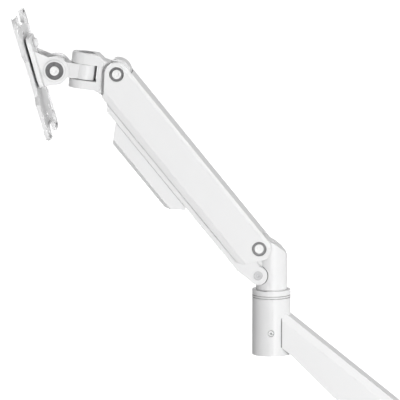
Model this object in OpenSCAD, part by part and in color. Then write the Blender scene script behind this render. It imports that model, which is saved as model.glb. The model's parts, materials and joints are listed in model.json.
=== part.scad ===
// Gas-sprung desk monitor arm: clamp base, lower arm, elbow, parallelogram upper arm and VESA head.
// Origin: centre of the base pad's underside on the desk, on the pole axis. +Z up, the monitor side is -X.
// The upper arm is drawn fully raised, which is its rest pose.

/* [Upper arm] */
// Distance between the two main pivots
arm_l = 214.4; // [170:0.1:260]
// Rise of the upper arm above level when raised
arm_angle = 50.9; // [45:0.1:54]
// Thickness of one side cover
cover_t = 2.2; // [1.6:0.1:3]
// Thickness of the pressed steel beam
beam_t = 1.8; // [1.2:0.1:2.2]
// Outer width of the beam over its two walls
beam_w = 34.4; // [33:0.1:40]
// Radius of the cover's round ends
end_r = 11.5; // [10.8:0.1:12.5]
// Drop of the cover's lower edge below the pivot line
cover_drop = 24.8; // [22:0.1:27]
// Height between the upper and lower pivots of the parallelogram
link_gap = 26.5; // [25:0.1:29]
// Thickness of the lower link's sheet
link_t = 2.2; // [1.6:0.1:2.4]
// Depth of the cable cover below the link
tray_h = 15.6; // [12:0.1:20]
// Wall of the cable cover
tray_t = 1.8; // [1.2:0.1:2.4]
// Radius of the main pivot bolts
pivot_r = 3.5; // [2.5:0.1:4]
// Radius of the gas spring's cylinder
gas_r = 9; // [7:0.1:10]
// Radius of the gas spring's rod
rod_r = 3.5; // [2.5:0.1:4]

/* [Elbow] */
// Distance from the base pole to the elbow axis
reach = 175; // [150:1:220]
// Height of the elbow collar's lower rim above the desk
elbow_z = 170; // [165:1:185]
// Outer radius of the elbow collar
collar_r = 18.4; // [18:0.1:22]
// Height of the elbow collar
collar_h = 63; // [58:0.1:66]
// Radius of the elbow spigot
spigot_r = 12; // [10:0.1:12.5]
// Radius of the elbow post above the collar
post_r = 15; // [14:0.1:15.2]
// Height of the rear main pivot above the collar's lower rim
pivot_h = 104.3; // [103:0.1:112]
// Setback of the rear main pivot from the elbow axis
pivot_back = 11.4; // [10.5:0.1:13]

/* [Lower arm] */
// Width of the lower arm
lower_w = 31.5; // [24:0.1:33]
// Wall of the lower arm's channel
lower_t = 3.2; // [2.4:0.1:5]
// Height of the lower arm where it meets the collar
lower_h = 34.4; // [28:0.1:36]
// Radius of the base hub
hub_r = 24; // [20:0.1:27]
// Height of the base hub
hub_h = 92; // [88:1:100]

/* [Base] */
// Radius of the base pole
pole_r = 12; // [10:0.1:14]
// Length of the base plate, across the desk edge
base_l = 110; // [96:1:140]
// Width of the base plate
base_w = 100; // [80:1:130]
// Thickness of the base plate
base_t = 8; // [6:0.1:10]
// Thickness of the rubber pad
pad_t = 1.5; // [1:0.1:3]
// Thickness of the clamp bracket
bracket_t = 5; // [4:0.1:6]
// Clear height of the clamp's throat below the desk surface
throat = 78; // [70:1:95]
// Length of the spindle below the bracket when half closed
spindle_tail = 64; // [60:1:90]
// Radius of the clamp spindle
spindle_r = 5; // [4:0.1:6]

/* [Head] */
// Distance from the front pivot to the swivel axis
swivel_reach = 31; // [30:0.1:36]
// Lean of the swivel axis towards the arm
lean = 7; // [4:0.1:9]
// Width of the clevis
clevis_w = 28; // [24:0.1:29]
// Thickness of the swivel tongue
tongue_t = 14.5; // [12:0.1:16]
// Distance from the swivel axis to the tilt axis
tongue_l = 27.85; // [27:0.1:32]
// Radius of the swivel bolt
swivel_r = 5; // [4:0.1:6]
// Radius of the tilt bolt
tilt_r = 4; // [3:0.1:5]
// Lean of the plate out of upright
plate_lean = 16; // [10:0.1:20]
// Height of the VESA plate
plate_h = 120; // [114:0.1:130]
// Width of the VESA plate
plate_w = 117; // [114:0.1:130]
// Depth of the plate with its pressed rim
rim_d = 3.5; // [3:0.1:5]
// Distance from the tilt axis to the plate's front face
plate_front = 22; // [21.5:0.1:26]

/* [Hidden] */
$fn = 64;

gap = 0.3;          // clearance between bodies that pass each other
fit = 0.05;         // running clearance of a shaft in its bore
white = [0.93, 0.93, 0.93];
steel = [0.75, 0.75, 0.76];
dark = [0.2, 0.2, 0.21];

// Elbow frame values, measured from the collar's lower rim on the elbow axis
post_z = collar_h + 0.8;
main_x = -pivot_back;
main_z = pivot_h;
link_dx = -1;
link_dz = -link_gap;
front_x = main_x - arm_l * cos(arm_angle);
front_z = main_z + arm_l * sin(arm_angle);
post_top = main_z + 12;

// Widths, from the middle plane outwards
beam_in = beam_w / 2 - beam_t;
cover_in = beam_w / 2 + 0.1;
cover_out = cover_in + cover_t;
link_out = beam_in - 0.6;
link_in = link_out - link_t;
blade = link_in - gap;
bush_r = 8;
web_top = end_r - 0.1;
web_cut = 14.2;
lug_r = 13.5;
heel_r = 11.9;
link_r = 9;
link_top = 7;
link_drop = 12.5;
stub_in = 8.7;
cap_r = 4.4;
window_r = 6.9;

// Gas spring: line from the front anchor to the rod's eye, in the arm frame
crank_e = 18;
crank_a = 11;
eye_x = -crank_e * sin(arm_angle - crank_a);
eye_z = -crank_e * (1 + cos(arm_angle - crank_a)) / 2;
anchor_x = arm_l - 36;
anchor_z = -5.5;
gas_len = norm([anchor_x - eye_x, anchor_z - eye_z]);
gas_tilt = atan2(anchor_z - eye_z, anchor_x - eye_x);
gas_body = 0.62 * gas_len;
eye_r = 4.5;
eye_w = 8;

// Tension screw, in the elbow frame: its line starts at the access hole and leans forward
tune_lean = 15;
tune_x = main_x + 15.1;
tune_z = main_z + 6.7;
tune_r = 3;
tune_head = 4.6;
pivot_wall = 8;
screw_seat = 3.6;
tune_len = 36;
tune_sink = 6;
tune_hole = 2.8;
nut_s = 28.4;
slot_w = 13;

// Head
swivel_rise = 1;
gap_h = tongue_t + 0.8;
ear_top = 10.5;
ear_low = 8.3;
ear_r = clevis_w / 2;
tongue_r = 11;
tongue_drop = 1.3;
boss_w = clevis_w + 0.4;
ear_in = boss_w / 2 + gap;
ear_t = 3.2;
ear_out = ear_in + ear_t;
ring_r = 10.2;
ring_in = 8.6;
ring_h = 1.6;
tilt_ear_r = 13.6;
back_front = plate_front - 4.5;
back_rear = plate_front - 8.5;
plate_rise = 0.8;
sheet_t = 2;
hub_ring_r = 14;
hub_boss_r = 7.9;

// Lower arm: slopes of the upper and lower edges
top_slope = 0.8056;
low_slope = 0.993;
arm_start = 10.3;
arm_top_z = 44.3;
bolt_zs = [14, 26];
edge_in = 2.6;
edge_down = 7;

// Base
pad_top = pad_t;
plate_top = pad_t + base_t;
hub_z = plate_top + 4.5;
edge_x = 45;
clamp_x = 8;
leg_z = -throat;

// ---------- helpers ----------

module at_elbow() translate([-reach, 0, elbow_z]) children();
module at_arm() at_elbow() translate([main_x, 0, main_z]) rotate([0, -arm_angle, 180]) children();
module at_link() at_elbow() translate([main_x + link_dx, 0, main_z + link_dz])
    rotate([0, -arm_angle, 180]) children();
module at_front() at_elbow() translate([front_x, 0, front_z]) children();
module at_swivel() at_front() translate([-swivel_reach, 0, swivel_rise]) rotate([0, lean, 0]) children();
module at_tilt() at_swivel() translate([-tongue_l, 0, -tongue_drop])
    rotate([0, -plate_lean - lean, 0]) children();
module at_plate() at_tilt() translate([0, 0, plate_rise]) children();
module at_tune() at_elbow() translate([tune_x, 0, tune_z]) rotate([0, tune_lean, 0]) children();
module at_gas() at_arm() translate([eye_x, 0, eye_z]) rotate([0, 90 - gas_tilt, 0]) children();

// Round bar along Y between two distances from the middle plane
module y_bar(r, y0, y1) translate([0, y0, 0]) rotate([-90, 0, 0]) cylinder(r = r, h = y1 - y0);

// Flat outline drawn in X and Z, extruded along Y
module y_slab(y0, y1) translate([0, y1, 0]) rotate([90, 0, 0]) linear_extrude(y1 - y0) children();

// Round bar along X
module x_bar(r, x0, x1) translate([x0, 0, 0]) rotate([0, 90, 0]) cylinder(r = r, h = x1 - x0);

// Flat outline drawn in Y and Z, extruded along X
module x_slab(x0, x1) translate([x0, 0, 0]) rotate([90, 0, 90]) linear_extrude(x1 - x0) children();

module both_sides() for (s = [0, 1]) mirror([0, s, 0]) children();

// Strip between two circles with straight tangents
module two_eyes(p, rp, q, rq) {
    d = norm(q - p);
    turn = atan2(q[1] - p[1], q[0] - p[0]);
    lift = acos((rp - rq) / d);
    polygon([
        p + rp * [cos(turn + lift), sin(turn + lift)],
        q + rq * [cos(turn + lift), sin(turn + lift)],
        q + rq * [cos(turn - lift), sin(turn - lift)],
        p + rp * [cos(turn - lift), sin(turn - lift)]
    ]);
    translate(p) circle(rp);
    translate(q) circle(rq);
}

module round_rect(w, h, r) {
    square([w - 2 * r, h], center = true);
    square([w, h - 2 * r], center = true);
    for (x = [-1, 1], y = [-1, 1]) translate([x * (w / 2 - r), y * (h / 2 - r)]) circle(r);
}

// Hexagon socket cut into the end of a screw, from z = 0 downwards
module socket(af, depth) translate([0, 0, -depth]) cylinder(d = af / cos(30), h = depth + 1, $fn = 6);

// ---------- base and clamp ----------

module base_pad() color(dark) translate([edge_x - base_l / 2, 0, 0])
    linear_extrude(pad_top) round_rect(base_l, base_w, 10);

module base_plate() color(white) difference() {
    translate([edge_x - base_l / 2, 0, pad_top]) linear_extrude(base_t) round_rect(base_l, base_w, 10);
    for (a = [0:90:270]) rotate(a + 45) translate([17, 0, 0]) cylinder(r = 2.5, h = 50, $fn = 32);
    for (y = [-1, 1]) translate([edge_x - 9, y * 24, 0]) cylinder(r = 3, h = 50);
}

module base_pole() color(steel) difference() {
    union() {
        translate([0, 0, plate_top]) cylinder(r = 21.5, h = 4);
        translate([0, 0, plate_top]) cylinder(r = pole_r, h = hub_h + 2);
    }
    for (a = [0:90:270]) rotate(a + 45) translate([17, 0, 0]) cylinder(r = 2.6, h = 50, $fn = 32);
}

module pole_screws() color(steel) for (a = [0:90:270]) rotate(a + 45)
    translate([17, 0, pad_top + 0.5]) cylinder(r = 2.5, h = base_t + 3);

module clamp_bracket() color(white) difference() {
    union() {
        y_slab(-36, 36) polygon([
            [edge_x - 18, plate_top], [edge_x - 18, plate_top + bracket_t],
            [edge_x + bracket_t - 3, plate_top + bracket_t], [edge_x + bracket_t, plate_top + bracket_t - 3],
            [edge_x + bracket_t, leg_z - bracket_t + 4], [edge_x + bracket_t - 4, leg_z - bracket_t],
            [clamp_x - 18, leg_z - bracket_t], [clamp_x - 18, leg_z],
            [edge_x, leg_z], [edge_x, plate_top]
        ]);
        translate([clamp_x, 0, leg_z - bracket_t - 8]) cylinder(r = spindle_r + 4, h = 10);
    }
    translate([clamp_x, 0, leg_z - 30]) cylinder(r = spindle_r + fit, h = 60);
    for (y = [-1, 1]) translate([edge_x - 9, y * 24, 0]) cylinder(r = 3, h = 50);
}

module bracket_screws() color(steel) for (y = [-1, 1]) translate([edge_x - 9, y * 24, 0])
    difference() {
        union() {
            translate([0, 0, pad_top + 0.5]) cylinder(r = 3, h = base_t + bracket_t);
            translate([0, 0, plate_top + bracket_t]) cylinder(r = 5.5, h = 3.2);
        }
        translate([0, 0, plate_top + bracket_t + 3.2]) socket(5, 2);
    }

disc_z = -45;
module clamp_disc() color(steel) difference() {
    translate([clamp_x, 0, disc_z - 6]) cylinder(r = 22, h = 5);
    translate([clamp_x, 0, disc_z - 7]) cylinder(r = spindle_r - 1 + fit, h = 4.5);
}

module disc_pad() color(dark) translate([clamp_x, 0, disc_z - 1]) cylinder(r = 21, h = 1.5);

module clamp_spindle() color(steel) {
    translate([clamp_x, 0, leg_z - spindle_tail])
        cylinder(r = spindle_r, h = disc_z - 6.3 - leg_z + spindle_tail);
    translate([clamp_x, 0, disc_z - 7]) cylinder(r = spindle_r - 1, h = 4.3);
}

module clamp_knob() color(dark) translate([clamp_x, 0, leg_z - spindle_tail]) difference() {
    union() {
        cylinder(r = 16, h = 14);
        for (a = [0:60:300]) rotate(a) translate([15, 0, 0]) cylinder(r = 4.5, h = 14);
    }
    translate([0, 0, -1]) cylinder(r = spindle_r, h = 20);
}

// ---------- lower arm ----------

function top_at(x) = arm_top_z - top_slope * (x - arm_start);
function low_at(x) = arm_top_z - lower_h - low_slope * (x - arm_start);

// Wedge that bevels one upper edge of the lower arm
module lower_edge() at_elbow() translate([arm_start, 0, arm_top_z]) rotate([0, atan(top_slope), 0])
    x_slab(-40, reach * 1.6) polygon([
        [lower_w / 2 - edge_in * (1 + 5 / edge_down), 5], [lower_w / 2 + 6, 5],
        [lower_w / 2 + edge_in * 2 / edge_down, -edge_down - 2]
    ]);

module lower_arm() color(white) difference() {
    union() {
        difference() {
            at_elbow() y_slab(-lower_w / 2, lower_w / 2) polygon([
                [8, low_at(10)], [8, top_at(19) + 0.5], [10.5, top_at(19) + 3], [14, top_at(19) + 3.6],
                [19, top_at(19)], [reach, top_at(reach)], [reach, low_at(reach)], [18, low_at(18)]
            ]);
            lower_edge();
            mirror([0, 1, 0]) lower_edge();
        }
        translate([0, 0, hub_z]) cylinder(r = hub_r, h = hub_h);
    }
    at_elbow() translate([0, 0, -100]) cylinder(r = collar_r, h = 300);
    at_elbow() y_slab(-lower_w / 2 + lower_t, lower_w / 2 - lower_t) polygon([
        [30, top_at(30) - lower_t * 1.6], [reach - hub_r - 4, top_at(reach - hub_r - 4) - lower_t * 1.6],
        [reach - hub_r - 4, low_at(reach - hub_r - 4) - 5], [30, low_at(30) - 5]
    ]);
    translate([0, 0, hub_z - 1]) cylinder(r = pole_r + 2.5, h = hub_h + 2);
    translate([-reach - 50, -60, -1]) cube([reach + 100, 120, hub_z + 1]);
    at_elbow() for (z = bolt_zs) translate([0, 0, z]) x_bar(2.6, 10, 24.5);
}

module lower_cable_strip() color(white) at_elbow()
    y_slab(-lower_w / 2 + lower_t + 0.1, lower_w / 2 - lower_t - 0.1) polygon([
        [30.2, low_at(30.2)], [reach - hub_r - 4.2, low_at(reach - hub_r - 4.2)],
        [reach - hub_r - 4.2, low_at(reach - hub_r - 4.2) + 2.5], [30.2, low_at(30.2) + 2.5]
    ]);

module base_bush() color(dark) translate([0, 0, hub_z]) difference() {
    cylinder(r = pole_r + 2.5, h = hub_h - 6);
    translate([0, 0, -1]) cylinder(r = pole_r + fit, h = hub_h);
}

module hub_cap() color(white) translate([0, 0, hub_z + hub_h - 3]) difference() {
    union() {
        cylinder(r = pole_r + 2.5, h = 3);
        translate([0, 0, 3]) cylinder(r1 = hub_r - 1, r2 = hub_r - 3, h = 3);
    }
    translate([0, 0, -1]) cylinder(r = pole_r + 0.8, h = 3.2);
}

// ---------- elbow ----------

bush_out = spigot_r + 2;
module elbow_collar() color(white) at_elbow() difference() {
    cylinder(r = collar_r, h = collar_h);
    translate([0, 0, -1]) cylinder(r = bush_out, h = collar_h + 2);
    for (z = [collar_h - 5.3, collar_h - 7.4]) translate([0, 0, z - 0.3]) difference() {
        cylinder(r = collar_r + 1, h = 0.8);
        translate([0, 0, -1]) cylinder(r = collar_r - 0.9, h = 3);
    }
    translate([0, 0, 22.5]) y_bar(2.7, -collar_r - 1, 0);
    translate([0, -collar_r - 0.2, 22.5]) rotate([-90, 0, 0])
        cylinder(r1 = screw_seat, r2 = 2.7, h = 1.2);
    for (z = bolt_zs) translate([0, 0, z]) x_bar(2.6, 10, 25);
}

module collar_bolts() color(steel) at_elbow() for (z = bolt_zs) translate([0, 0, z])
    x_bar(2.5, bush_out + 0.4, 24);

module elbow_bush() color(dark) at_elbow() translate([0, 0, 8]) difference() {
    cylinder(r = bush_out, h = collar_h - 8);
    translate([0, 0, -1]) cylinder(r = spigot_r + fit, h = collar_h);
}

module elbow_set_screw() color(steel) at_elbow() translate([0, 0, 22.5]) difference() {
    y_bar(2.65, -collar_r + 0.3, -bush_out);
    translate([0, -collar_r + 0.3, 0]) rotate([90, 0, 0]) socket(2, 1.2);
}

module elbow_washer() color(dark) at_elbow() translate([0, 0, collar_h + 0.1]) difference() {
    cylinder(r = post_r, h = post_z - collar_h - 0.1);
    translate([0, 0, -1]) cylinder(r = spigot_r + fit, h = 4);
}

module post_clip() color(steel) at_elbow() translate([0, 0, 5.6]) difference() {
    cylinder(r = bush_out - 0.3, h = 1.6);
    translate([0, 0, -1]) cylinder(r = spigot_r - 1, h = 4);
}

// Slot in the middle of the post for the spring's eye, the nut and the tension screw
module post_slot() at_tune() y_slab(-slot_w / 2, slot_w / 2)
    polygon([[5.4, -tune_sink], [5.4, -38.5], [-40, -38.5], [-40, 6], [-9, -tune_sink]]);

module elbow_post() color(white) difference() {
    at_elbow() difference() {
        union() {
            translate([0, 0, 4]) cylinder(r = spigot_r, h = post_z - 2);
            intersection() {
                translate([0, 0, post_z]) cylinder(r = post_r, h = post_top - post_z);
                y_slab(-post_r, post_r) polygon([
                    [post_r, post_z], [post_r, main_z - 8], [13.2, main_z - 4.8], [9, main_z - 0.5],
                    [4, main_z + 3.3], [0, main_z + 5.6], [-3, main_z + 7.3], [-6, main_z + 10.6],
                    [-11.4, main_z + 11.9], [-post_r, main_z + 11], [-post_r, post_z]
                ]);
            }
            y_slab(-blade, blade) two_eyes([main_x, main_z], heel_r,
                [main_x + link_dx, main_z + link_dz], 8.5);
        }
        translate([0, 0, 5.5]) difference() {
            cylinder(r = spigot_r + 1, h = 1.8);
            translate([0, 0, -1]) cylinder(r = spigot_r - 1, h = 4);
        }
        translate([main_x, 0, main_z]) y_bar(pivot_r + fit, -30, 30);
        both_sides() translate([main_x, 0, main_z]) y_bar(bush_r + 0.2, blade, 30);
        both_sides() translate([main_x + link_dx, 0, main_z + link_dz]) {
            y_bar(2.5, stub_in - 0.2, 30);
            y_bar(link_r + 0.6, blade, 30);
            translate([-40, blade, -link_r - 0.6]) cube([40, 20, 2 * link_r + 6]);
        }
    }
    difference() {
        post_slot();
        at_elbow() translate([main_x, 0, main_z]) y_bar(pivot_wall, -30, 30);
    }
    at_tune() translate([0, 0, -20]) cylinder(r = tune_hole, h = 40);
}

module main_pivot_bushes() color(dark) at_elbow() translate([main_x, 0, main_z]) both_sides()
    difference() {
        y_bar(bush_r, blade, beam_in - 0.1);
        y_bar(pivot_r + fit, blade - 1, beam_in + 1);
    }

// Short screws that hold the lower link on a blade without crossing the middle
module stub_screws() both_sides() difference() {
    union() {
        y_bar(2.45, stub_in, link_out + 0.1);
        y_bar(4.2, link_out + 0.1, beam_in - 0.1);
    }
    translate([0, beam_in - 0.1, 0]) rotate([-90, 0, 0]) socket(2.5, 0.4);
}

module link_rear_screws() color(steel) at_elbow()
    translate([main_x + link_dx, 0, main_z + link_dz]) stub_screws();

module tension_screw() color(steel) at_tune() difference() {
    union() {
        translate([0, 0, -tune_len]) cylinder(r = tune_r, h = tune_len - tune_sink - 1);
        translate([0, 0, -tune_sink - 4.2]) cylinder(r = tune_head, h = 4);
    }
    translate([0, 0, -tune_sink - 0.2]) socket(4, 2.6);
}

module tension_nut() color(steel) at_tune() translate([0, 0, -nut_s]) difference() {
    y_slab(-slot_w / 2 + gap, slot_w / 2 - gap) polygon([
        [4.9, -5], [4.9, 5], [-4.3, 5], [-15.5, 3], [-15.5, -3], [-4.3, -5]
    ]);
    y_slab(-eye_w / 2 - gap, eye_w / 2 + gap) polygon([[-4.3, -8], [-4.3, 8], [-20, 8], [-20, -8]]);
    translate([0, 0, -20]) cylinder(r = tune_r + fit, h = 40);
}

// ---------- upper arm ----------

// Side outline of the arm in its own frame, with its edges drawn in by e
nose_a = -48.5;
heel_a = 208.8;
module arm_outline(e) {
    r = end_r - e;
    drop = cover_drop - e;
    nose = [arm_l, 0] + r * [cos(nose_a), sin(nose_a)];
    heel = r * [cos(heel_a), sin(heel_a)];
    polygon([
        [0, r], heel, [-1.6 + e, -drop + 3], [3.5, -drop],
        [arm_l - 8 - e, -drop], [arm_l - 6.4 - e, -drop + 3.8], nose, [arm_l, r]
    ]);
    circle(r);
    translate([arm_l, 0]) circle(r);
}

module arm_beam() color(white) at_arm() difference() {
    union() {
        both_sides() y_slab(beam_in, beam_w / 2) arm_outline(0.8);
        translate([0, -beam_w / 2, web_top - beam_t]) cube([arm_l, beam_w, beam_t]);
    }
    y_slab(-beam_in, beam_in) {
        circle(web_cut);
        translate([arm_l, 0]) circle(web_cut);
        translate([-20, -50]) square([20, 80]);
        translate([arm_l, -50]) square([20, 80]);
    }
    for (x = [0, arm_l]) translate([x, 0, 0]) y_bar(pivot_r + fit, -40, 40);
    translate([anchor_x, 0, anchor_z]) y_bar(3, -40, 40);
}

// Side cover: flat face with a bevelled lower edge and a softened upper edge
module arm_cover() difference() {
    intersection() {
        y_slab(cover_in, cover_out) arm_outline(0);
        x_slab(-20, arm_l + 20) polygon([
            [cover_in, -cover_drop], [cover_in + 0.5, -cover_drop], [cover_out, -cover_drop + 6],
            [cover_out, end_r - 3.3], [cover_out - 0.9, end_r - 0.6], [cover_in + 0.6, end_r],
            [cover_in, end_r]
        ]);
    }
    for (x = [0, arm_l]) translate([x, 0, 0]) y_bar(window_r, 0, 40);
}

module arm_cover_front() color(white) at_arm() arm_cover();
module arm_cover_back() color(white) at_arm() mirror([0, 1, 0]) arm_cover();

module main_pivot_bolts() color(white) at_arm() for (x = [0, arm_l]) translate([x, 0, 0]) difference() {
    union() {
        y_bar(pivot_r, -cover_out + 0.8, cover_in + 0.5);
        y_bar(cap_r, cover_in + 0.5, cover_out - 0.3);
    }
    translate([0, cover_out - 0.3, 0]) rotate([-90, 0, 0]) socket(4, 1.2);
}

module main_pivot_nuts() color(steel) at_arm() for (x = [0, arm_l]) translate([x, 0, 0]) difference() {
    translate([0, -cover_in - 0.5, 0]) rotate([90, 0, 0])
        cylinder(d = 9 / cos(30), h = cover_t - 0.9, $fn = 6);
    y_bar(pivot_r, -40, 40);
}

module pivot_washers() color(steel) at_arm() for (x = [0, arm_l]) translate([x, 0, 0]) both_sides()
    difference() {
        y_bar(window_r - 0.3, beam_w / 2, cover_in + 0.5);
        y_bar(pivot_r, beam_w / 2 - 1, cover_in + 2);
    }

module cover_clips() color(dark) at_arm() for (x = [60, arm_l - 62]) translate([x, 0, 4])
    both_sides() y_bar(2.4, beam_in - 1.6, beam_in);

module gas_cylinder() color(dark) at_gas() difference() {
    union() {
        translate([0, 0, gas_len - gas_body]) cylinder(r = gas_r, h = gas_body - 7);
        translate([0, 0, gas_len - 10]) cylinder(r = 4, h = 8);
        translate([0, 0, gas_len]) y_bar(6, -4.5, 4.5);
    }
    translate([0, 0, gas_len]) y_bar(3, -20, 20);
    translate([0, 0, gas_len - gas_body - 1]) cylinder(r = rod_r + fit, h = gas_body - 19);
}

module gas_anchor_pin() color(steel) at_arm() translate([anchor_x, 0, anchor_z])
    y_bar(3, -beam_w / 2, beam_w / 2);

module gas_rod() color(steel) at_gas() difference() {
    union() {
        cylinder(r = rod_r, h = gas_len - gas_body + 22);
        y_bar(eye_r, -eye_w / 2, eye_w / 2);
    }
    y_bar(2, -20, 20);
}

// Side outline of the lower link in its own frame
module link_outline() {
    polygon([
        [0, link_top], [arm_l, link_top], [arm_l + 2, -8.6], [arm_l - 2, -link_drop],
        [15, -link_drop], [8.7, -10.7], [0, -8.9]
    ]);
    circle(link_r);
    translate([arm_l, 0]) circle(link_r);
}

module lower_link() color(white) at_link() difference() {
    union() {
        both_sides() y_slab(link_in, link_out) link_outline();
        translate([22, -link_out, -link_drop]) cube([arm_l - 36, 2 * link_out, link_t]);
    }
    for (x = [0, arm_l]) translate([x, 0, 0]) y_bar(2.5, -40, 40);
}

// Clip-on trough for cables under the lower link
tray_x0 = 120;
tray_x1 = 16;
module tray_outline(e) polygon([
    [arm_l - tray_x1 - e, -link_drop - 0.2], [arm_l - tray_x1 - 2 - e, -link_drop - 3.5],
    [arm_l - tray_x1 - 13.7 - e, -link_drop - tray_h + e], [arm_l - 107.4, -link_drop - tray_h + e],
    [arm_l - 111.6 + e / 2, -link_drop - tray_h + 2.8 + e], [arm_l - tray_x0 - 1.7 + 2 * e, -link_drop - 2],
    [arm_l - tray_x0 + 2 * e, -link_drop - 0.2]
]);

// Cross-section of the cable cover with its lower edges cut off by c
module tray_section(half, low, c) x_slab(arm_l - 140, arm_l) polygon([
    [-half, 0], [half, 0], [half, -low + c], [half - c, -low], [-half + c, -low], [-half, -low + c]
]);

module cable_cover() color(white) at_link() difference() {
    intersection() {
        y_slab(-link_out, link_out) tray_outline(0);
        tray_section(link_out, link_drop + tray_h, 3.4);
    }
    intersection() {
        y_slab(-link_out + tray_t, link_out - tray_t) {
            tray_outline(tray_t);
            translate([arm_l - 118, -link_drop - 2.4]) square([98, 3]);
        }
        tray_section(link_out - tray_t, link_drop + tray_h - tray_t, 2.6);
    }
    x_slab(arm_l - 130, arm_l) polygon([[-8, -link_drop + 1], [8, -link_drop + 1],
        [8, -link_drop - tray_h + 5], [-8, -link_drop - tray_h + 5]]);
}

// ---------- head ----------

module knuckle() color(white) difference() {
    union() {
        at_front() y_slab(-blade, blade) {
            polygon([[-20, 20.5], [-14, 19.6], [-5, 12.5], [0, 0], [link_dx, link_dz],
                [link_dx - 6, link_dz - 5.6], [-13.5, -21], [-22, -16]]);
            two_eyes([0, 0], lug_r, [link_dx, link_dz], 8.5);
        }
        at_swivel() {
            translate([0, 0, -gap_h / 2 - ear_low]) cylinder(r = ear_r, h = gap_h + ear_low + ear_top);
            translate([0, -ear_r, -gap_h / 2 - ear_low]) cube([16.5, clevis_w, gap_h + ear_low + ear_top]);
        }
    }
    at_swivel() {
        translate([-20, -30, -gap_h / 2]) cube([20 + tongue_r + 1, 60, gap_h]);
        y_slab(-30, 30) polygon([
            [-30, 30], [-30, gap_h / 2 + ear_top], [11, gap_h / 2 + ear_top],
            [17, gap_h / 2 + ear_top - 4.5], [25, 12], [25, 30]
        ]);
        translate([0, 0, -50]) cylinder(r = swivel_r + fit, h = 100);
        translate([0, 0, gap_h / 2 + ear_top - 4.5]) cylinder(r = 8.2, h = 20);
        translate([0, 0, -gap_h / 2 - ear_low - 1]) cylinder(r = 8.4, h = 4.5);
    }
    at_front() {
        y_bar(pivot_r + fit, -30, 30);
        both_sides() translate([link_dx, 0, link_dz]) {
            y_bar(2.5, stub_in - 0.2, 30);
            y_bar(link_r + 0.6, blade, 30);
        }
    }
}

module front_pivot_bushes() color(dark) at_front() both_sides() difference() {
    y_bar(bush_r, blade, beam_in - 0.1);
    y_bar(pivot_r + fit, blade - 1, beam_in + 1);
}

module link_front_screws() color(steel) at_front() translate([link_dx, 0, link_dz]) stub_screws();

module swivel_bolt() color(steel) at_swivel() difference() {
    union() {
        translate([0, 0, -gap_h / 2 - ear_low + 0.6]) cylinder(r = swivel_r, h = gap_h + ear_low + ear_top - 5);
        translate([0, 0, gap_h / 2 + ear_top - 4.5]) cylinder(r = 7.6, h = 3.6);
    }
    translate([0, 0, gap_h / 2 + ear_top - 0.9]) socket(6, 2.4);
}

module swivel_nut() color(steel) at_swivel() translate([0, 0, -gap_h / 2 - ear_low + 0.2]) difference() {
    cylinder(d = 13 / cos(30), h = 3.2, $fn = 6);
    translate([0, 0, -1]) cylinder(r = swivel_r, h = 10);
}

washer_t = (gap_h - tongue_t) / 2 - 0.1;
module swivel_washers() color(dark) at_swivel() for (s = [0, 1]) mirror([0, 0, s])
    translate([0, 0, gap_h / 2 - washer_t]) difference() {
        cylinder(r = 10, h = washer_t);
        translate([0, 0, -1]) cylinder(r = swivel_r + fit, h = 4);
    }

module swivel_tongue() color(white) at_swivel() difference() {
    union() {
        translate([0, 0, -tongue_t / 2]) cylinder(r = tongue_r, h = tongue_t);
        translate([-tongue_l, -tongue_r + 1.5, -tongue_t / 2]) cube([tongue_l, 2 * tongue_r - 3, tongue_t]);
        translate([-tongue_l, 0, -tongue_drop]) y_bar(tongue_r, -boss_w / 2, boss_w / 2);
    }
    translate([0, 0, -50]) cylinder(r = swivel_r + fit, h = 100);
    translate([-tongue_l, 0, -tongue_drop]) y_bar(tilt_r + fit, -50, 50);
}

module tilt_bracket() color(white) at_tilt() difference() {
    union() {
        x_slab(-back_front, -back_rear) translate([0, 12.5]) round_rect(50, 49, 6);
        both_sides() y_slab(ear_in, ear_in + ear_t) {
            polygon([
                [-back_rear, 23], [-back_rear + 3, 20.5], [-1.5, 13.5], [9, 10.2], [11, -8],
                [-3, -13.2], [-back_rear + 2, -12], [-back_rear, -10.5]
            ]);
            circle(tilt_ear_r);
        }
        both_sides() y_bar(ring_r, ear_in, ear_out + ring_h);
    }
    both_sides() y_bar(ring_in, ear_out, 40);
    y_bar(tilt_r + fit, -50, 50);
    translate([0, 0, plate_rise]) x_bar(hub_boss_r + 0.1, -40, -8);
    translate([0, 0, 29.5]) x_bar(2.1, -40, -8);
}

module tilt_bolt() color(white) at_tilt() difference() {
    union() {
        y_bar(tilt_r, -ear_out - 1, ear_out + 3.2);
        y_bar(tilt_r + 0.4, -ear_out - 2.6, -ear_out - 0.8);
    }
    translate([0, -ear_out - 2.6, 0]) rotate([90, 0, 0]) socket(4, 1.2);
}

module tilt_springs() color(steel) at_tilt() both_sides() difference() {
    y_bar(ring_in - 0.2, ear_out, ear_out + 0.8);
    y_bar(tilt_r + fit, 0, 50);
}

module tilt_nut() color(steel) at_tilt() difference() {
    translate([0, ear_out + 0.8, 0]) rotate([-90, 0, 0]) cylinder(d = 13 / cos(30), h = 2.4, $fn = 6);
    y_bar(tilt_r, -50, 50);
}

module tilt_washers() color(dark) at_tilt() both_sides() difference() {
    y_bar(9.5, ear_in - gap + 0.05, ear_in);
    y_bar(tilt_r + fit, 0, 50);
}

module lock_screw() color(white) at_tilt() translate([0, 0, 29.5]) difference() {
    union() {
        x_bar(2, -back_front + 0.1, -back_rear + 1);
        x_bar(4.3, -back_rear, -back_rear + 4.2);
    }
    translate([-back_rear + 4.2, 0, 0]) rotate([0, 90, 0]) socket(3, 1.8);
}

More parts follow.
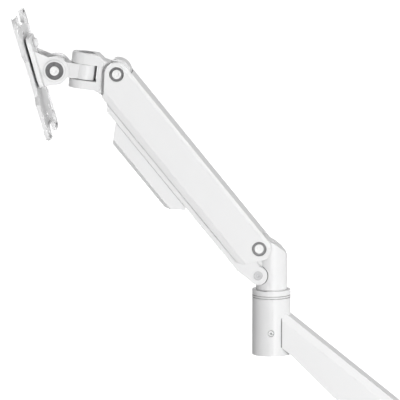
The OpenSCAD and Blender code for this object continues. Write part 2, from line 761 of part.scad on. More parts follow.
hub_screw_c = 5;
module plate_hub() color(steel) at_plate() difference() {
    union() {
        x_bar(hub_ring_r, -plate_front + sheet_t, -back_front - 0.1);
        x_bar(hub_boss_r, -back_front - 0.2, -back_rear + 0.1);
    }
    for (a = [0:120:240]) rotate([a, 0, 0]) translate([0, 0, hub_screw_c]) x_bar(1.5, -50, 0);
}

module hub_retainer() color(steel) at_plate() difference() {
    x_bar(10.3, -back_rear + 0.1, -back_rear + 1.1);
    for (a = [0:120:240]) rotate([a, 0, 0]) translate([0, 0, hub_screw_c]) x_bar(1.5, -50, 0);
}

module hub_screws() color(steel) at_plate() for (a = [0:120:240]) rotate([a, 0, 0])
    translate([0, 0, hub_screw_c]) {
        x_bar(1.45, -plate_front + 0.4, -back_rear + 1.1);
        x_bar(2.4, -back_rear + 1.1, -back_rear + 1.6);
    }

// Front view of the VESA plate with its edges drawn in by e: corner lobes, notches and waists
module plate_outline(e) difference() {
    round_rect(plate_w - 2 * e, plate_h - 2 * e, 11 - e);
    for (s = [-1, 1]) translate([0, s * (plate_h / 2 + 4)]) round_rect(50 + 2 * e, 30 + 2 * e, 9 + e);
    for (s = [0, 1]) mirror([s, 0]) polygon([
        [plate_w / 2 + 1, 25 + e], [plate_w / 2 - 10 - e, 17 + e], [plate_w / 2 - 10 - e, -17 - e],
        [plate_w / 2 + 1, -25 - e]
    ]);
}

module vesa_plate() color(white) at_plate() difference() {
    x_slab(-plate_front, -plate_front + rim_d) plate_outline(0);
    difference() {
        x_slab(-plate_front + sheet_t, -plate_front + rim_d + 1) plate_outline(1.8);
        for (y = [-50, 50], z = [-50, 50]) translate([0, y, z]) x_bar(6, -40, 0);
    }
    for (d = [37.5, 50], y = [-1, 1], z = [-1, 1]) translate([0, y * d, z * d]) x_bar(2.6, -50, 0);
    for (a = [0:120:240]) rotate([a, 0, 0]) translate([0, 0, hub_screw_c]) x_bar(1.5, -50, 0);
    for (s = [-1, 1]) x_slab(-50, 0) translate([0, s * 40]) round_rect(12, 4.4, 2.1);
    for (s = [-1, 1]) x_slab(-50, 0) translate([s * 33, 0]) round_rect(9, 34, 4.4);
}

base_pad();
base_plate();
base_pole();
pole_screws();
clamp_bracket();
bracket_screws();
clamp_disc();
disc_pad();
clamp_spindle();
clamp_knob();
lower_arm();
base_bush();
hub_cap();
lower_cable_strip();
elbow_collar();
collar_bolts();
elbow_bush();
elbow_set_screw();
elbow_post();
elbow_washer();
post_clip();
main_pivot_bushes();
link_rear_screws();
tension_screw();
tension_nut();
arm_beam();
arm_cover_front();
arm_cover_back();
main_pivot_bolts();
main_pivot_nuts();
pivot_washers();
cover_clips();
gas_cylinder();
gas_anchor_pin();
gas_rod();
lower_link();
cable_cover();
knuckle();
front_pivot_bushes();
link_front_screws();
swivel_bolt();
swivel_nut();
swivel_washers();
swivel_tongue();
tilt_bracket();
tilt_bolt();
tilt_nut();
tilt_springs();
tilt_washers();
lock_screw();
plate_hub();
hub_retainer();
hub_screws();
vesa_plate();
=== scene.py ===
# Desk monitor arm, white, gas-sprung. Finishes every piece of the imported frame.
import json
import math

import bmesh
import bpy
from mathutils import Matrix, Vector

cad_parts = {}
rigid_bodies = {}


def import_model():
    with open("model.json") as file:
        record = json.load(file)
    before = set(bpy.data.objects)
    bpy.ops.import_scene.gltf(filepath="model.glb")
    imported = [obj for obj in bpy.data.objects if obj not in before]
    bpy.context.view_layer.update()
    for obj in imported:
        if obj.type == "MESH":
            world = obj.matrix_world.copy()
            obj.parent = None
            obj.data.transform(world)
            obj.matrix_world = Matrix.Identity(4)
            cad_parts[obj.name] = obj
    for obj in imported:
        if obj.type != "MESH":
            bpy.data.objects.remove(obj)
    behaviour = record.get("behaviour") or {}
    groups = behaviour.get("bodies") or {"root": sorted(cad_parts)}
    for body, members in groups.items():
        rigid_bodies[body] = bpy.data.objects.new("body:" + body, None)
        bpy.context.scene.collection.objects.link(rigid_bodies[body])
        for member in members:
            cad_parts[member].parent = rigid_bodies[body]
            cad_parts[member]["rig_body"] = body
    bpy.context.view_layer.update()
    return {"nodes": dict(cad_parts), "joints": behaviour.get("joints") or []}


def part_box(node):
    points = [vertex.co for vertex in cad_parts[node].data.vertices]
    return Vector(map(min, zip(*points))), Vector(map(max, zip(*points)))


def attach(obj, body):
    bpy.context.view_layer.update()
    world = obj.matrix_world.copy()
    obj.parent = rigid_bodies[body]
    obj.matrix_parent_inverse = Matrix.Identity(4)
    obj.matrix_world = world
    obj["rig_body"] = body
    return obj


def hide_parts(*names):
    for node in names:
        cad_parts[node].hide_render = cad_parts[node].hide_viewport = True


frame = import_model()
nodes = frame["nodes"]
print("frame loaded:", len(nodes), "nodes")

mm = 0.001

# angles in degrees, target and distance in m, lens in mm
cameraSettings = {
    "target": (-0.2433, 0.0, 0.3183),
    "azimuth": 2.11,
    "elevation": 8.52,
    "distance": 3.8147,
    "lens": 360.0,
}


def addCamera(settings):
    az, el = math.radians(settings["azimuth"]), math.radians(settings["elevation"])
    away = Vector((math.sin(az) * math.cos(el), -math.cos(az) * math.cos(el), math.sin(el)))
    data = bpy.data.cameras.new("camera")
    data.lens = settings["lens"]
    data.sensor_width = 36.0
    data.clip_end = 200.0
    cam = bpy.data.objects.new("camera", data)
    cam.location = Vector(settings["target"]) + away * settings["distance"]
    cam.rotation_euler = away.to_track_quat("Z", "Y").to_euler()
    bpy.context.scene.collection.objects.link(cam)
    bpy.context.scene.camera = cam


addCamera(cameraSettings)
print("camera placed")


class Wiring:
    # adds nodes to a tree and links them by short calls
    def __init__(self, tree):
        self.tree = tree

    def add(self, kind, **values):
        made = self.tree.nodes.new(kind)
        for key, value in values.items():
            setattr(made, key, value)
        return made

    def put(self, target, value):
        # a socket is linked, anything else is stored as the value
        if isinstance(value, bpy.types.NodeSocket):
            self.tree.links.new(value, target)
        else:
            target.default_value = value

    def maths(self, operation, a, b=0.0):
        made = self.add("ShaderNodeMath", operation=operation)
        self.put(made.inputs[0], a)
        self.put(made.inputs[1], b)
        return made.outputs[0]

    def noise(self, vector, scale, detail=3.0, rough=0.5):
        made = self.add("ShaderNodeTexNoise")
        self.put(made.inputs["Vector"], vector)
        self.put(made.inputs["Scale"], scale)
        made.inputs["Detail"].default_value = detail
        made.inputs["Roughness"].default_value = rough
        return made.outputs["Fac"]

    def span(self, value, low, high, toLow, toHigh):
        made = self.add("ShaderNodeMapRange")
        self.put(made.inputs["Value"], value)
        made.inputs["From Min"].default_value = low
        made.inputs["From Max"].default_value = high
        self.put(made.inputs["To Min"], toLow)
        self.put(made.inputs["To Max"], toHigh)
        return made.outputs["Result"]

    def mix(self, factor, a, b):
        made = self.add("ShaderNodeMix", data_type="RGBA")
        self.put(made.inputs["Factor"], factor)
        self.put(made.inputs[6], a)
        self.put(made.inputs[7], b)
        return made.outputs[2]


def newGroup(name, inputs, outputs):
    tree = bpy.data.node_groups.new(name, "ShaderNodeTree")
    for label, kind, value in inputs:
        made = tree.interface.new_socket(name=label, in_out="INPUT", socket_type=kind)
        if value is not None:
            made.default_value = value
    for label, kind in outputs:
        tree.interface.new_socket(name=label, in_out="OUTPUT", socket_type=kind)
    w = Wiring(tree)
    return tree, w, w.add("NodeGroupInput"), w.add("NodeGroupOutput")


# Fine orange-peel and speckle of a painted or moulded surface
def surfaceGrainGroup():
    tree, w, source, out = newGroup(
        "surfaceGrain",
        [
            ("Vector", "NodeSocketVector", None),
            ("Fine Scale", "NodeSocketFloat", 2600.0),
            ("Wave Scale", "NodeSocketFloat", 420.0),
            ("Roughness", "NodeSocketFloat", 0.45),
            ("Roughness Spread", "NodeSocketFloat", 0.08),
        ],
        [("Height", "NodeSocketFloat"), ("Roughness", "NodeSocketFloat"), ("Cloud", "NodeSocketFloat")],
    )
    fine = w.noise(source.outputs["Vector"], source.outputs["Fine Scale"], 2.0, 0.55)
    wave = w.noise(source.outputs["Vector"], source.outputs["Wave Scale"], 3.0, 0.5)
    cloud = w.noise(source.outputs["Vector"], 38.0, 4.0, 0.55)
    height = w.maths("ADD", w.maths("MULTIPLY", fine, 0.45), w.maths("MULTIPLY", wave, 0.55))
    shift = w.maths("MULTIPLY", w.maths("SUBTRACT", cloud, 0.5), source.outputs["Roughness Spread"])
    speck = w.maths("MULTIPLY", w.maths("SUBTRACT", fine, 0.5), 0.12)
    w.put(out.inputs["Height"], height)
    w.put(out.inputs["Roughness"], w.maths("ADD", w.maths("ADD", source.outputs["Roughness"], shift), speck))
    w.put(out.inputs["Cloud"], cloud)
    return tree


# Mask of rubbed outer edges, and an occlusion mask of gaps and inner corners used for painted shade and dust
def edgeMarksGroup():
    tree, w, source, out = newGroup(
        "edgeMarks",
        [("Vector", "NodeSocketVector", None), ("Break Up", "NodeSocketFloat", 160.0),
         ("Reach", "NodeSocketFloat", 0.0035)],
        [("Edge", "NodeSocketFloat"), ("Gap Shade", "NodeSocketFloat")],
    )
    point = w.add("ShaderNodeNewGeometry").outputs["Pointiness"]
    patch = w.noise(source.outputs["Vector"], source.outputs["Break Up"], 4.0, 0.6)
    # occlusion mask of gaps and inner corners, used to paint shade there
    gaps = w.add("ShaderNodeAmbientOcclusion", samples=12)
    w.put(gaps.inputs["Distance"], source.outputs["Reach"])
    edge = w.span(point, 0.54, 0.64, 0.0, 1.0)
    corner = w.span(gaps.outputs["AO"], 0.72, 0.15, 0.0, 1.0)
    w.put(out.inputs["Edge"], w.maths("MULTIPLY", edge, w.span(patch, 0.45, 0.7, 0.0, 1.0)))
    w.put(out.inputs["Gap Shade"], w.maths("MULTIPLY", corner, w.span(patch, 0.3, 0.7, 0.75, 1.0)))
    return tree


grainGroup = surfaceGrainGroup()
marksGroup = edgeMarksGroup()


def useGroup(w, tree, values):
    made = w.add("ShaderNodeGroup")
    made.node_tree = tree
    for label, value in values.items():
        w.put(made.inputs[label], value)
    return made


def newMaterial(name):
    mat = bpy.data.materials.new(name)
    mat.use_nodes = True
    mat.node_tree.nodes.clear()
    w = Wiring(mat.node_tree)
    shader = w.add("ShaderNodeBsdfPrincipled")
    out = w.add("ShaderNodeOutputMaterial")
    mat.node_tree.links.new(shader.outputs[0], out.inputs["Surface"])
    place = w.add("ShaderNodeTexCoord").outputs["Object"]
    return mat, w, shader, place


def setBump(w, shader, height, strength, distance):
    bump = w.add("ShaderNodeBump")
    bump.inputs["Strength"].default_value = strength
    bump.inputs["Distance"].default_value = distance
    w.put(bump.inputs["Height"], height)
    w.put(shader.inputs["Normal"], bump.outputs["Normal"])


# Painted, moulded and rubber finishes differ only in these values
def grainyMaterial(name, look):
    mat, w, shader, place = newMaterial(name)
    grain = useGroup(w, grainGroup, {
        "Vector": place, "Fine Scale": look["fine"], "Wave Scale": look["wave"],
        "Roughness": look["rough"], "Roughness Spread": look["spread"],
    })
    marks = useGroup(w, marksGroup, {"Vector": place, "Break Up": look["patch"]})
    tint = w.mix(grain.outputs["Cloud"], look["deep"] + (1.0,), look["base"] + (1.0,))
    # painted shade: the occlusion mask pulls gaps and inner corners towards the tint, which is near black on
    # white finishes; on black finishes the lighter tint reads as dust
    gapShadeAndDusty = w.mix(w.maths("MULTIPLY", marks.outputs["Gap Shade"], look["gapShadeAndDust"]), tint, look["gapShadeAndDustTint"] + (1.0,))
    worn = w.mix(w.maths("MULTIPLY", marks.outputs["Edge"], look["wear"]), gapShadeAndDusty, look["wornTint"] + (1.0,))
    if "gapShadowX" in look:
        # painted shadow: a dark line round the end that butts on the next piece, standing for the shade in
        # the gap between them
        axis = w.add("ShaderNodeSeparateXYZ")
        w.put(axis.inputs[0], place)
        near, far = look["gapShadowX"] + look["gapShadowWide"] * mm, look["gapShadowX"] + look["gapShadowFade"] * mm
        gapShadow = w.span(axis.outputs["X"], near, far, 1.0, 0.0)
        worn = w.mix(gapShadow, worn, look["gapShadowTint"] + (1.0,))
    w.put(shader.inputs["Base Color"], worn)
    w.put(shader.inputs["Roughness"], grain.outputs["Roughness"])
    shader.inputs["Specular IOR Level"].default_value = look["specular"]
    setBump(w, shader, grain.outputs["Height"], look["bump"], look["depth"])
    return mat


# gapShadeAndDust with a near-black tint paints shade into gaps and inner corners of the white finishes
whiteLook = {
    "base": (0.86, 0.86, 0.862), "deep": (0.85, 0.85, 0.853), "gapShadeAndDustTint": (0.1, 0.099, 0.098),
    "wornTint": (0.9, 0.9, 0.9), "gapShadeAndDust": 1.0, "wear": 0.05, "fine": 2400.0, "wave": 520.0,
    "rough": 0.42, "spread": 0.1, "specular": 0.4, "bump": 0.16, "depth": 0.00012, "patch": 170.0,
}
plasticLook = dict(
    whiteLook, base=(0.88, 0.88, 0.882), deep=(0.872, 0.872, 0.875), fine=4200.0, wave=1300.0,
    rough=0.5, bump=0.12, depth=0.00008, wear=0.2,
)
# on black finishes gapShadeAndDust lightens gaps and inner corners like dust
blackLook = {
    "base": (0.022, 0.022, 0.024), "deep": (0.014, 0.014, 0.015), "gapShadeAndDustTint": (0.09, 0.088, 0.085),
    "wornTint": (0.11, 0.11, 0.11), "gapShadeAndDust": 0.5, "wear": 0.5, "fine": 3000.0, "wave": 900.0,
    "rough": 0.5, "spread": 0.14, "specular": 0.45, "bump": 0.25, "depth": 0.0001, "patch": 170.0,
}
rubberLook = dict(blackLook, rough=0.82, specular=0.25, bump=0.5, depth=0.00018, fine=1800.0, wave=600.0)


# Turned or drawn steel: fine streaks along one axis under a soft zinc mottling
def steelMaterial(name, look):
    mat, w, shader, place = newMaterial(name)
    tint, rough = look["tint"], look["rough"]
    mapping = w.add("ShaderNodeMapping")
    mapping.inputs["Scale"].default_value = look["stretch"]
    w.put(mapping.inputs["Vector"], place)
    streak = w.noise(mapping.outputs["Vector"], look["streak"], 3.0, 0.6)
    mottle = w.noise(place, look["mottle"], 4.0, 0.6)
    marks = useGroup(w, marksGroup, {"Vector": place, "Break Up": look["patch"]})
    dark = tuple(c * look["shade"] for c in tint)
    base = w.mix(w.span(mottle, 0.35, 0.7, 0.0, 1.0), dark + (1.0,), tint + (1.0,))
    worn = w.mix(w.maths("MULTIPLY", marks.outputs["Edge"], look["wear"]), base, look["wornTint"] + (1.0,))
    w.put(shader.inputs["Base Color"], worn)
    shader.inputs["Metallic"].default_value = 1.0
    w.put(shader.inputs["Roughness"], w.span(streak, 0.2, 0.8, rough - 0.08, rough + 0.12))
    setBump(w, shader, streak, look["bump"], look["depth"])
    return mat


steelLook = {
    "tint": (0.62, 0.62, 0.63), "rough": 0.34, "stretch": (1.0, 1.0, 0.12), "streak": 900.0,
    "mottle": 150.0, "patch": 220.0, "shade": 0.72, "wear": 0.5, "wornTint": (0.85, 0.85, 0.86),
    "bump": 0.12, "depth": 0.00004,
}
turnedLook = dict(steelLook, tint=(0.56, 0.56, 0.57), rough=0.26, stretch=(0.15, 0.15, 3.0))
darkLook = dict(steelLook, tint=(0.3, 0.3, 0.305), rough=0.32, stretch=(1.0, 1.0, 0.3))
brightLook = dict(steelLook, tint=(0.6, 0.6, 0.61), rough=0.38, stretch=(1.0, 1.0, 0.3))
capLook = dict(plasticLook, base=(0.97, 0.97, 0.97), deep=(0.96, 0.96, 0.96), gapShadeAndDust=0.3)
# the lower arm's end gets a painted dark line for the shadow in the gap where it butts on the collar
armLook = dict(
    whiteLook, gapShadowX=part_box("lower_arm")[0].x, gapShadowWide=0.7, gapShadowFade=1.3, gapShadowTint=(0.16, 0.16, 0.165),
)

finishes = {
    "whitePaint": grainyMaterial("whitePaint", whiteLook),
    "armPaint": grainyMaterial("armPaint", armLook),
    "whitePlastic": grainyMaterial("whitePlastic", plasticLook),
    "whiteCap": grainyMaterial("whiteCap", capLook),
    "blackPlastic": grainyMaterial("blackPlastic", blackLook),
    "blackPaint": grainyMaterial("blackPaint", dict(blackLook, rough=0.34, bump=0.08)),
    "rubber": grainyMaterial("rubber", rubberLook),
    "steel": steelMaterial("steel", steelLook),
    "turnedSteel": steelMaterial("turnedSteel", turnedLook),
    "darkSteel": steelMaterial("darkSteel", darkLook),
    "brightSteel": steelMaterial("brightSteel", brightLook),
}
print("materials made:", len(finishes))

# finish, edge radius in mm, rounding steps
pieceLooks = {
    "base_pad": ("rubber", 0.3, 2), "base_plate": ("whitePaint", 1.6, 4),
    "base_pole": ("turnedSteel", 0.4, 2), "pole_screws": ("steel", 0.3, 2),
    "clamp_bracket": ("whitePaint", 0.8, 3), "bracket_screws": ("steel", 0.5, 3),
    "clamp_disc": ("steel", 0.8, 3), "disc_pad": ("rubber", 0.4, 2),
    "clamp_knob": ("blackPlastic", 1.4, 4),
    "lower_arm": ("armPaint", 1.6, 4), "base_bush": ("blackPlastic", 0.3, 2),
    "hub_cap": ("whitePlastic", 0.7, 3), "lower_cable_strip": ("whitePlastic", 0.4, 2),
    "elbow_collar": ("whitePaint", 0.8, 3), "collar_bolts": ("steel", 0.3, 2),
    "elbow_bush": ("blackPlastic", 0.2, 2), "elbow_set_screw": ("whitePaint", 0.15, 2),
    "elbow_post": ("whitePaint", 0.45, 3), "elbow_washer": ("whitePlastic", 0.1, 1),
    "post_clip": ("steel", 0.15, 1), "main_pivot_bushes": ("blackPlastic", 0.2, 2),
    "link_rear_screws": ("brightSteel", 0.12, 2), "tension_nut": ("steel", 0.3, 2),
    "arm_beam": ("whitePaint", 0.4, 3), "arm_cover_front": ("whitePlastic", 0.5, 4),
    "arm_cover_back": ("whitePlastic", 0.5, 4), "main_pivot_bolts": ("whiteCap", 0.3, 3),
    "main_pivot_nuts": ("steel", 0.2, 2), "pivot_washers": ("darkSteel", 0.15, 2),
    "cover_clips": ("blackPlastic", 0.3, 2), "gas_cylinder": ("blackPaint", 0.6, 3),
    "gas_anchor_pin": ("steel", 0.3, 2), "gas_rod": ("turnedSteel", 0.3, 2),
    "lower_link": ("whitePaint", 0.8, 3), "cable_cover": ("whitePlastic", 0.5, 3),
    "knuckle": ("whitePaint", 0.7, 4), "front_pivot_bushes": ("blackPlastic", 0.2, 2),
    "link_front_screws": ("brightSteel", 0.12, 2), "swivel_bolt": ("steel", 0.4, 3),
    "swivel_nut": ("steel", 0.3, 2), "swivel_washers": ("blackPlastic", 0.08, 1),
    "swivel_tongue": ("whitePaint", 0.7, 4), "tilt_bracket": ("whitePaint", 0.6, 4),
    "tilt_bolt": ("whiteCap", 0.25, 3), "tilt_nut": ("steel", 0.3, 2),
    "tilt_springs": ("darkSteel", 0.12, 2), "tilt_washers": ("blackPlastic", 0.05, 1),
    "plate_hub": ("steel", 0.2, 2), "hub_retainer": ("steel", 0.2, 2), "hub_screws": ("steel", 0.12, 2),
    "vesa_plate": ("whitePaint", 0.5, 3),
}
sharpAngle = math.radians(32)


def bakedMesh(obj, name):
    # the modifiers' result as a plain mesh on a new object at the origin
    bpy.context.view_layer.update()
    graph = bpy.context.evaluated_depsgraph_get()
    mesh = bpy.data.meshes.new_from_object(obj.evaluated_get(graph))
    mesh.name = name
    made = bpy.data.objects.new(name, mesh)
    bpy.context.scene.collection.objects.link(made)
    bpy.data.objects.remove(obj)
    return made


def smoothByAngle(mesh, angle=sharpAngle):
    mesh.shade_smooth()
    mesh.set_sharp_from_angle(angle=angle)


def handOver(piece, node, finish):
    piece.data.materials.clear()
    piece.data.materials.append(finishes[finish])
    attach(piece, nodes[node]["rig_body"])
    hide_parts(node)
    return piece


def cleanCopy(node, name):
    # the loose triangles are merged, and flat areas become single faces that bevel cleanly
    bm = bmesh.new()
    bm.from_mesh(nodes[node].data)
    bmesh.ops.remove_doubles(bm, verts=bm.verts, dist=2e-6)
    bmesh.ops.dissolve_limit(bm, angle_limit=math.radians(0.6), verts=bm.verts, edges=bm.edges)
    bmesh.ops.recalc_face_normals(bm, faces=bm.faces)
    mesh = bpy.data.meshes.new(name)
    bm.to_mesh(mesh)
    bm.free()
    obj = bpy.data.objects.new(name, mesh)
    bpy.context.scene.collection.objects.link(obj)
    return obj


def finishedPiece(node, finish, radius, steps):
    obj = cleanCopy(node, node + "_raw")
    bevel = obj.modifiers.new("edges", "BEVEL")
    bevel.width = radius * mm
    bevel.segments = steps
    bevel.limit_method = "ANGLE"
    bevel.angle_limit = sharpAngle
    bevel.use_clamp_overlap = True
    bevel.harden_normals = False
    bevel.miter_outer = "MITER_ARC"
    weigh = obj.modifiers.new("faces", "WEIGHTED_NORMAL")
    weigh.keep_sharp = True
    weigh.weight = 80
    smoothByAngle(obj.data)
    piece = bakedMesh(obj, node + "_finished")
    return handOver(piece, node, finish)


for node, (finish, radius, steps) in pieceLooks.items():
    finishedPiece(node, finish, radius, steps)
print("finished copies:", len(pieceLooks))


def geometryTree(name, inputs):
    tree = bpy.data.node_groups.new(name, "GeometryNodeTree")
    tree.interface.new_socket(name="Geometry", in_out="INPUT", socket_type="NodeSocketGeometry")
    for label, kind in inputs:
        tree.interface.new_socket(name=label, in_out="INPUT", socket_type=kind)
    tree.interface.new_socket(name="Geometry", in_out="OUTPUT", socket_type="NodeSocketGeometry")
    w = Wiring(tree)
    return tree, w, w.add("NodeGroupInput"), w.add("NodeGroupOutput")


def endTree(w, source, out, geometry):
    real = w.add("GeometryNodeRealizeInstances")
    w.put(real.inputs[0], geometry)
    paint = w.add("GeometryNodeSetMaterial")
    w.put(paint.inputs["Geometry"], real.outputs[0])
    w.put(paint.inputs["Material"], source.outputs["Material"])
    join = w.add("GeometryNodeJoinGeometry")
    w.tree.links.new(paint.outputs[0], join.inputs[0])
    w.tree.links.new(source.outputs["Geometry"], join.inputs[0])
    w.tree.links.new(join.outputs[0], out.inputs[0])


# A thread: a small round ridge wound along local Z
def threadTree():
    tree, w, source, out = geometryTree("screwThread", [
        ("Turns", "NodeSocketFloat"), ("Radius", "NodeSocketFloat"), ("Length", "NodeSocketFloat"),
        ("Ridge", "NodeSocketFloat"), ("Material", "NodeSocketMaterial"),
    ])
    spiral = w.add("GeometryNodeCurveSpiral")
    spiral.inputs["Resolution"].default_value = 24
    w.put(spiral.inputs["Rotations"], source.outputs["Turns"])
    w.put(spiral.inputs["Start Radius"], source.outputs["Radius"])
    w.put(spiral.inputs["End Radius"], source.outputs["Radius"])
    w.put(spiral.inputs["Height"], source.outputs["Length"])
    ridge = w.add("GeometryNodeCurvePrimitiveCircle")
    ridge.inputs["Resolution"].default_value = 6
    w.put(ridge.inputs["Radius"], source.outputs["Ridge"])
    sweep = w.add("GeometryNodeCurveToMesh")
    w.put(sweep.inputs["Curve"], spiral.outputs[0])
    w.put(sweep.inputs["Profile Curve"], ridge.outputs[0])
    sweep.inputs["Fill Caps"].default_value = True
    endTree(w, source, out, sweep.outputs[0])
    return tree


# A knurl: straight ribs round a head whose axis is local Z
def knurlTree():
    tree, w, source, out = geometryTree("headKnurl", [
        ("Count", "NodeSocketInt"), ("Radius", "NodeSocketFloat"), ("Height", "NodeSocketFloat"),
        ("Rib", "NodeSocketFloat"), ("Material", "NodeSocketMaterial"),
    ])
    ring = w.add("GeometryNodeMeshCircle")
    w.put(ring.inputs["Vertices"], source.outputs["Count"])
    w.put(ring.inputs["Radius"], source.outputs["Radius"])
    rib = w.add("GeometryNodeMeshCylinder")
    rib.inputs["Vertices"].default_value = 8
    w.put(rib.inputs["Radius"], source.outputs["Rib"])
    w.put(rib.inputs["Depth"], source.outputs["Height"])
    place = w.add("GeometryNodeInstanceOnPoints")
    w.put(place.inputs["Points"], ring.outputs[0])
    w.put(place.inputs["Instance"], rib.outputs["Mesh"])
    endTree(w, source, out, place.outputs[0])
    return tree


threads = threadTree()
knurls = knurlTree()


def runTree(obj, tree, values, name):
    modifier = obj.modifiers.new("build", "NODES")
    modifier.node_group = tree
    keys = {s.name: s.identifier for s in tree.interface.items_tree if s.in_out == "INPUT"}
    for label, value in values.items():
        modifier[keys[label]] = value
    obj.update_tag()
    return bakedMesh(obj, name)


def turnedCore(profile, segments=48):
    # spins a list of (radius, height) points in mm round local Z into a closed solid
    bm = bmesh.new()
    rings = []
    for radius, height in profile:
        ring = []
        for i in range(segments):
            a = 2 * math.pi * i / segments
            ring.append(bm.verts.new((radius * mm * math.cos(a), radius * mm * math.sin(a), height * mm)))
        rings.append(ring)
    for low, high in zip(rings, rings[1:]):
        for i in range(segments):
            j = (i + 1) % segments
            bm.faces.new((low[i], low[j], high[j], high[i]))
    bm.faces.new(list(reversed(rings[0])))
    bm.faces.new(rings[-1])
    bmesh.ops.recalc_face_normals(bm, faces=bm.faces)
    mesh = bpy.data.meshes.new("core")
    bm.to_mesh(mesh)
    bm.free()
    obj = bpy.data.objects.new("core", mesh)
    bpy.context.scene.collection.objects.link(obj)
    return obj


def putInPlace(piece, centre, direction):
    # local Z is laid along the direction, with the local origin at the centre
    turn = Vector(direction).normalized().to_track_quat("Z", "Y").to_matrix().to_4x4()
    piece.data.transform(Matrix.Translation(centre) @ turn)


# sizes in mm; the thread starts at threadFoot and leaves bareLength of the shank plain
spindleLook = {
    "radius": 5.0, "ridge": 0.42, "pitch": 1.5, "point": 3.95, "neck": 4.0, "threadFoot": 16.0,
    "bareLength": 18.0,
}


def lowerCore(core, height):
    # the tree starts its pattern at local zero, so the core is moved to meet it
    for vert in core.data.vertices:
        vert.co.z -= height * mm


def threadValues(look, run, finish):
    return {
        "Turns": run / look["pitch"], "Radius": (look["radius"] - look["ridge"] - 0.02) * mm,
        "Length": run * mm, "Ridge": look["ridge"] * mm, "Material": finishes[finish],
    }


def addSpindle(look):
    low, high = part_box("clamp_spindle")
    centre = Vector(((low.x + high.x) / 2, (low.y + high.y) / 2, low.z))
    length = (high.z - low.z) / mm
    shank = length - look["neck"] - 0.6
    root = look["radius"] - 2 * look["ridge"] + 0.12
    core = turnedCore([
        (root - 0.8, 0), (root, 0.8), (root, shank - 0.6), (root - 0.6, shank),
        (look["point"], shank + 0.2), (look["point"], length - 0.6), (look["point"] - 0.6, length),
    ])
    run = shank - look["bareLength"]
    lowerCore(core, look["threadFoot"])
    piece = runTree(core, threads, threadValues(look, run, "turnedSteel"), "clamp_spindle_finished")
    putInPlace(piece, centre + Vector((0, 0, look["threadFoot"] * mm)), (0, 0, 1))
    smoothByAngle(piece.data, math.radians(50))
    handOver(piece, "clamp_spindle", "turnedSteel")


def jointOf(name):
    return next(j for j in frame["joints"] if j["name"] == name)


tensionLook = {
    "radius": 3.0, "ridge": 0.26, "pitch": 1.0, "foot": 36.0, "length": 29.8, "head": 4.8,
    "headHeight": 4.0, "threadFoot": 1.0,
}


def addTensionScrew(look):
    joint = jointOf("tension_turn")
    axis = Vector(joint["axis"])
    root = look["radius"] - 2 * look["ridge"] + 0.1
    span = look["length"] - look["headHeight"]
    core = turnedCore([
        (root - 0.5, 0), (root, 0.5), (root, span), (look["head"] - 0.3, span),
        (look["head"], span + 0.3), (look["head"], look["length"] - 0.8),
        (look["head"] - 0.5, look["length"] - 0.25), (2.4, look["length"] - 0.25),
        (2.1, look["length"] - 2.4), (0.2, look["length"] - 2.7),
    ])
    lowerCore(core, look["threadFoot"])
    values = threadValues(look, span - 2 * look["threadFoot"], "steel")
    piece = runTree(core, threads, values, "tension_screw_finished")
    foot = Vector(joint["pos_m"]) - axis * (look["foot"] - look["threadFoot"]) * mm
    putInPlace(piece, foot, axis)
    smoothByAngle(piece.data, math.radians(40))
    handOver(piece, "tension_screw", "steel")


lockLook = {"head": 4.05, "headHeight": 4.2, "ribs": 22, "rib": 0.24, "height": 3.1, "shank": 1.95}


def addLockScrew(look):
    axis = Vector(jointOf("plate_rotate")["axis"])
    verts = [v.co for v in nodes["lock_screw"].data.vertices]
    along = [v.dot(axis) for v in verts]
    middle = sum(verts, Vector()) / len(verts)
    foot = middle + axis * (min(along) - middle.dot(axis))
    total = (max(along) - min(along)) / mm
    start = total - look["headHeight"]
    core = turnedCore([
        (look["shank"] - 0.3, 0), (look["shank"], 0.3), (look["shank"], start),
        (look["head"] - 0.3, start), (look["head"], start + 0.3), (look["head"], total - 0.7),
        (look["head"] - 0.6, total), (2.2, total), (1.7, total - 0.5), (1.6, total - 1.8), (0.2, total - 1.9),
    ])
    centre = start + 0.3 + look["height"] / 2
    lowerCore(core, centre)
    values = {
        "Count": look["ribs"], "Radius": look["head"] * mm, "Height": look["height"] * mm,
        "Rib": look["rib"] * mm, "Material": finishes["whitePaint"],
    }
    piece = runTree(core, knurls, values, "lock_screw_finished")
    putInPlace(piece, foot + axis * centre * mm, axis)
    smoothByAngle(piece.data, math.radians(40))
    handOver(piece, "lock_screw", "whitePaint")


addSpindle(spindleLook)
addTensionScrew(tensionLook)
addLockScrew(lockLook)
print("threads and knurls made")

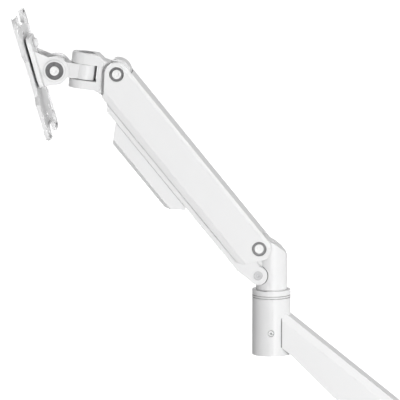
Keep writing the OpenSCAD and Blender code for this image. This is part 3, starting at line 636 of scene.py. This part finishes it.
stageLook = {
    "floorHeight": -0.16, "floorSize": 60.0, "floorGlow": 1.0, "sky": 0.33, "aim": (-0.2, 0, 0.3),
}
# place in m, size in m, power in W
lightLooks = {
    "keyLight": ((1.0, -3.2, 0.2), 0.7, 71.5),
    "sideLight": ((3.4, -0.9, 0.4), 0.8, 9.0),
    "topLight": ((2.2, 0.8, 2.8), 1.0, 32.0),
    "backLight": ((-1.6, 3.2, 1.7), 1.2, 60.0),
    "fillLight": ((-2.4, -1.8, 0.9), 1.0, 4.0),
}


def addFloor(look):
    half = look["floorSize"] / 2
    mesh = bpy.data.meshes.new("floor")
    corners = [(-half, -half), (half, -half), (half, half), (-half, half)]
    mesh.from_pydata([(x, y, look["floorHeight"]) for x, y in corners], [], [(0, 1, 2, 3)])
    floor = bpy.data.objects.new("floor", mesh)
    mat, w, shader, place = newMaterial("paleFloor")
    shader.inputs["Base Color"].default_value = (0.5, 0.5, 0.5, 1)
    shader.inputs["Roughness"].default_value = 0.95
    shader.inputs["Specular IOR Level"].default_value = 0.0
    shader.inputs["Emission Color"].default_value = (1, 1, 1, 1)
    w.put(shader.inputs["Emission Strength"],
          w.maths("MULTIPLY", w.add("ShaderNodeLightPath").outputs["Is Camera Ray"], look["floorGlow"]))
    mesh.materials.append(mat)
    bpy.context.scene.collection.objects.link(floor)


def addLight(name, place, size, power):
    data = bpy.data.lights.new(name, "AREA")
    data.shape = "DISK"
    data.size = size
    data.energy = power
    lamp = bpy.data.objects.new(name, data)
    lamp.location = place
    lamp.rotation_euler = (Vector(place) - Vector(stageLook["aim"])).to_track_quat("Z", "Y").to_euler()
    bpy.context.scene.collection.objects.link(lamp)


def addWorld(look):
    world = bpy.data.worlds.new("studio")
    world.use_nodes = True
    back = world.node_tree.nodes["Background"]
    back.inputs["Color"].default_value = (1, 1, 1, 1)
    back.inputs["Strength"].default_value = look["sky"]
    bpy.context.scene.world = world


addFloor(stageLook)
addWorld(stageLook)
for name, (place, size, power) in lightLooks.items():
    addLight(name, place, size, power)
bpy.context.scene.view_settings.view_transform = "Standard"
print("stage set")
